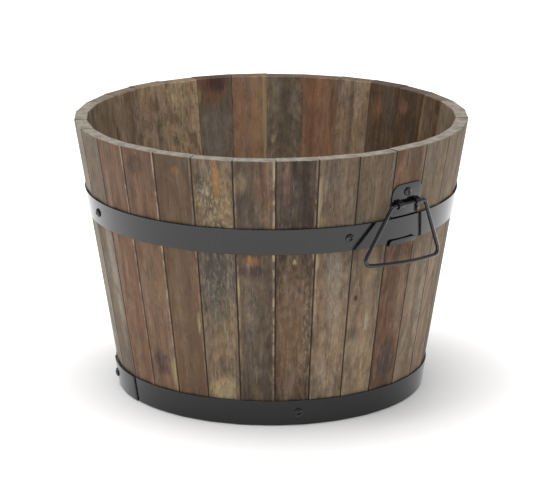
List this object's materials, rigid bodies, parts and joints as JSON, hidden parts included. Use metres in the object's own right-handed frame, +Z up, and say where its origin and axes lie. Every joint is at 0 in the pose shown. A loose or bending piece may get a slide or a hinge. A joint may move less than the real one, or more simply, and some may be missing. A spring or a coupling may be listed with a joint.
{
  "type": "barrel planter",
  "caption": "Round tapered planter of flat upright wooden staves in two black hoops, with a board base in a groove and swinging wire handles on brackets.",
  "frame": {"origin": "centre of the foot, on the floor", "axes": "+Z up along the tub's axis, +X out through the middle of the front handle, +Y to the right of that handle as seen from outside"},
  "size_m": [0.497, 0.4994, 0.35],
  "materials": {
    "wood_pale": "bare sawn softwood, pale tone",
    "wood_taupe": "bare sawn softwood, taupe tone",
    "wood_grey": "bare sawn softwood, grey tone",
    "wood_brown": "bare sawn softwood, brown tone",
    "wood_russet": "bare sawn softwood, russet tone",
    "wood_walnut": "bare sawn softwood, walnut tone",
    "wood_honey": "bare sawn softwood, honey tone",
    "base_wood": "bare sawn softwood",
    "black_paint": "glossy black enamel",
    "black_wire": "glossy black enamel on round wire",
    "black_screws": "black coated steel"
  },
  "bodies": {
    "tub": {"stave_01": "wood_russet", "stave_02": "wood_pale", "stave_03": "wood_taupe", "stave_04": "wood_grey", "stave_05": "wood_brown", "stave_06": "wood_taupe", "stave_07": "wood_walnut", "stave_08": "wood_brown", "stave_09": "wood_walnut", "stave_10": "wood_grey", "stave_11": "wood_russet", "stave_12": "wood_grey", "stave_13": "wood_honey", "stave_14": "wood_walnut", "stave_15": "wood_pale", "stave_16": "wood_taupe", "stave_17": "wood_grey", "stave_18": "wood_brown", "stave_19": "wood_taupe", "stave_20": "wood_walnut", "stave_21": "wood_pale", "stave_22": "wood_grey", "stave_23": "wood_russet", "stave_24": "wood_brown", "stave_25": "wood_brown", "stave_26": "wood_pale", "stave_27": "wood_grey", "stave_28": "wood_walnut", "stave_29": "wood_taupe", "stave_30": "wood_pale", "middle_hoop": "black_paint", "lower_hoop": "black_paint", "middle_hoop_screws": "black_screws", "lower_hoop_screws": "black_screws", "base_board_1": "base_wood", "base_board_2": "base_wood", "base_board_3": "base_wood", "base_board_4": "base_wood", "base_board_5": "base_wood", "front_batten": "base_wood", "rear_batten": "base_wood", "batten_screws": "black_screws", "front_bracket": "black_paint", "rear_bracket": "black_paint", "bracket_screws": "black_screws"},
    "front_handle": {"front_bail": "black_wire"},
    "rear_handle": {"rear_bail": "black_wire"}
  },
  "joints": [
    {"name": "front_handle_swing", "type": "hinge", "parent": "tub", "child": "front_handle", "pos_m": [0.24342, 0, 0.27906], "axis": [0, -1, 0], "range_deg": [-10, 170]},
    {"name": "rear_handle_swing", "type": "hinge", "parent": "tub", "child": "rear_handle", "pos_m": [-0.24342, 0, 0.27906], "axis": [0, 1, 0], "range_deg": [-10, 170]}
  ]
}
